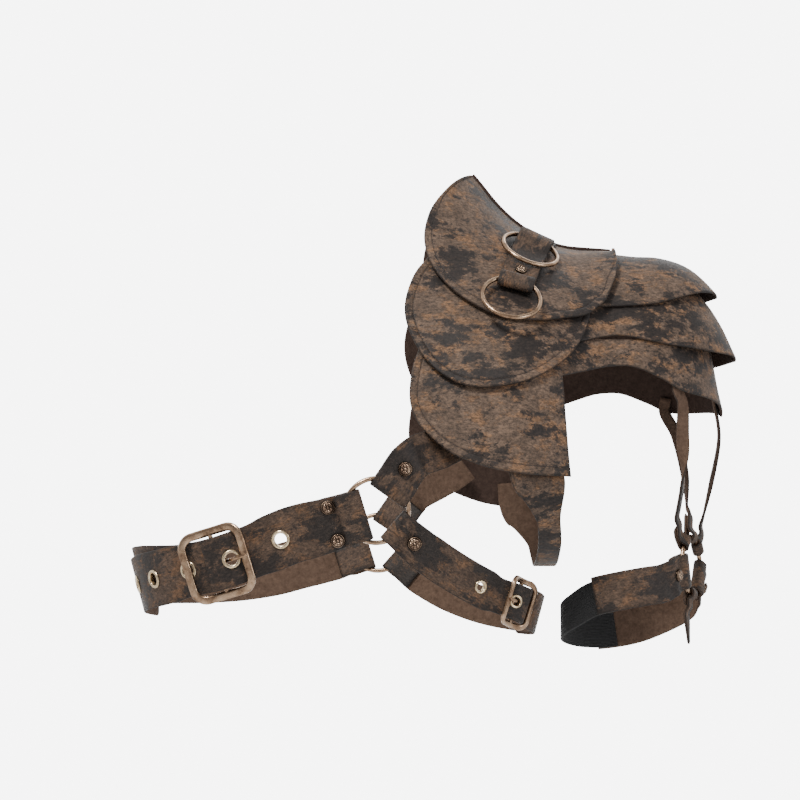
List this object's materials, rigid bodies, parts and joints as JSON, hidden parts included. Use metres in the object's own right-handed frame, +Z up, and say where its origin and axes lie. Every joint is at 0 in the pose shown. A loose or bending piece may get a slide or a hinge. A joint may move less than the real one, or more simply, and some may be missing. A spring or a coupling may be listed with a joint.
{
  "type": "pauldron",
  "caption": "Worn shoulder guard of overlapping leather plates and lames, with a buckled chest harness, an arm band and metal rings.",
  "frame": {"origin": "seat on top of the shoulder, just below the seam where plates and lames meet", "axes": "+X towards the outer arm, +Y towards the back of the wearer, +Z up"},
  "size_m": [0.5131, 0.2934, 0.4054],
  "materials": {
    "brown_leather": "distressed",
    "aged_brass": "aged",
    "elastic": "woven"
  },
  "bodies": {
    "root": {"top_plate_front": "brown_leather", "top_plate_back": "brown_leather", "middle_plate_front": "brown_leather", "middle_plate_back": "brown_leather", "lower_plate_front": "brown_leather", "lower_plate_back": "brown_leather", "shoulder_lame_1_front": "brown_leather", "shoulder_lame_1_back": "brown_leather", "shoulder_lame_2_front": "brown_leather", "shoulder_lame_2_back": "brown_leather", "shoulder_lame_3_front": "brown_leather", "shoulder_lame_3_back": "brown_leather", "chest_ring_front": "aged_brass", "chest_ring_back": "aged_brass", "belt_tongue": "brown_leather", "belt_eyelet_1": "aged_brass", "belt_eyelet_2": "aged_brass", "belt_eyelet_3": "aged_brass", "belt_eyelet_4": "aged_brass", "belt_eyelet_5": "aged_brass", "belt_back": "brown_leather", "belt_buckle_frame": "aged_brass", "belt_buckle_prong": "aged_brass", "belt_rivet_front_1": "aged_brass", "belt_rivet_front_2": "aged_brass", "belt_rivet_back_1": "aged_brass", "belt_rivet_back_2": "aged_brass", "side_strap_tongue": "brown_leather", "side_strap_eyelet_1": "aged_brass", "side_strap_eyelet_2": "aged_brass", "side_strap_back": "brown_leather", "side_strap_buckle_frame": "aged_brass", "side_strap_buckle_prong": "aged_brass", "side_strap_rivet_front_1": "aged_brass", "side_strap_rivet_back_1": "aged_brass", "up_strap_front": "brown_leather", "up_strap_rivet_front": "aged_brass", "up_strap_back": "brown_leather", "up_strap_rivet_back": "aged_brass", "underarm_strap": "brown_leather", "ring_strap": "brown_leather", "ring_strap_rivet_1": "aged_brass", "ring_strap_rivet_2": "aged_brass", "ring_upper": "aged_brass", "ring_lower": "aged_brass", "arm_ring": "aged_brass", "arm_band_front": "brown_leather", "arm_band_rivet_front": "aged_brass", "arm_band_back": "brown_leather", "arm_band_rivet_back": "aged_brass", "arm_elastic": "elastic", "hanger_front": "brown_leather", "hanger_outer": "brown_leather", "hanger_back": "brown_leather", "ring_tail": "brown_leather"}
  },
  "joints": []
}
